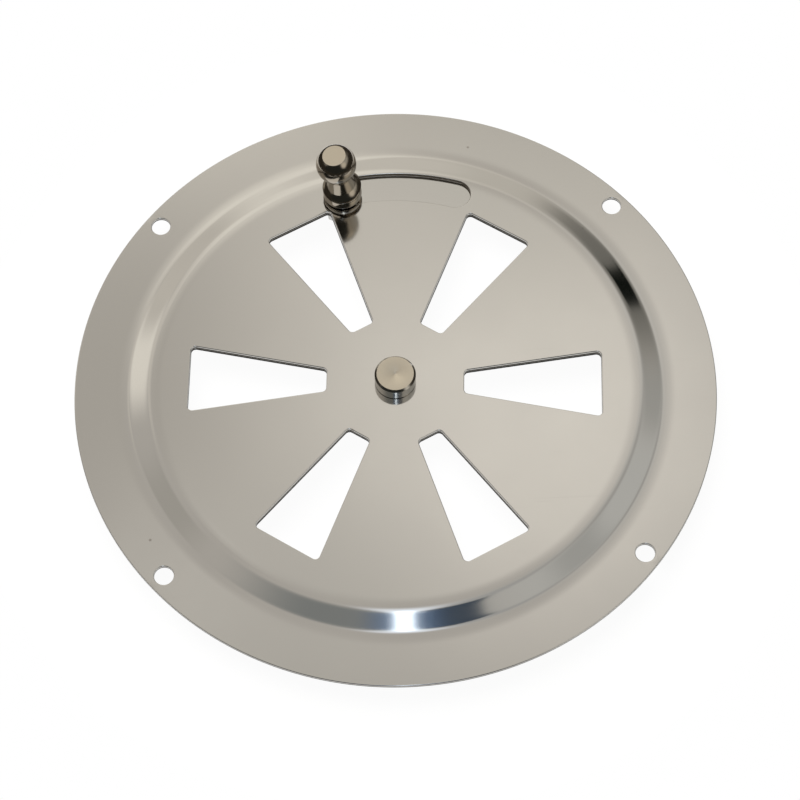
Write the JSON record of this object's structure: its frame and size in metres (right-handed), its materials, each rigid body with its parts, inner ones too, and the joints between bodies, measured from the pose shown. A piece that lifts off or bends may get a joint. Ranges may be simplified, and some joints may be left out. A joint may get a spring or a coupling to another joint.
{
  "type": "round vent cover",
  "caption": "Round pressed stainless vent cover: wedge openings in a raised middle, and a shutter disc behind it that a ball knob in a curved slot turns to open or close them.",
  "frame": {"origin": "on the axis, in the plane of the flange's back face, at the middle of the screw-hole rectangle", "axes": "+Z out of the front, X along the longer rows of screw holes, Y along the shorter ones"},
  "size_m": [0.125, 0.125, 0.0225],
  "materials": {
    "polished_sheet": "polished stainless sheet",
    "shutter_sheet": "polished stainless sheet",
    "turned_steel": "turned and polished",
    "fastener_steel": "plain stainless"
  },
  "bodies": {
    "cover": {"front_plate": "polished_sheet", "pivot_stud": "turned_steel", "pivot_washer": "fastener_steel", "pivot_spring_washer": "fastener_steel", "pivot_nut": "fastener_steel"},
    "shutter": {"shutter_disc": "shutter_sheet", "knob": "turned_steel", "knob_spring_washer": "fastener_steel", "knob_nut": "fastener_steel"}
  },
  "joints": [
    {"name": "shutter_turn", "type": "hinge", "parent": "cover", "child": "shutter", "pos_m": [0, 0, 0], "axis": [0, 0, 1], "range_deg": [-30, 0]}
  ]
}
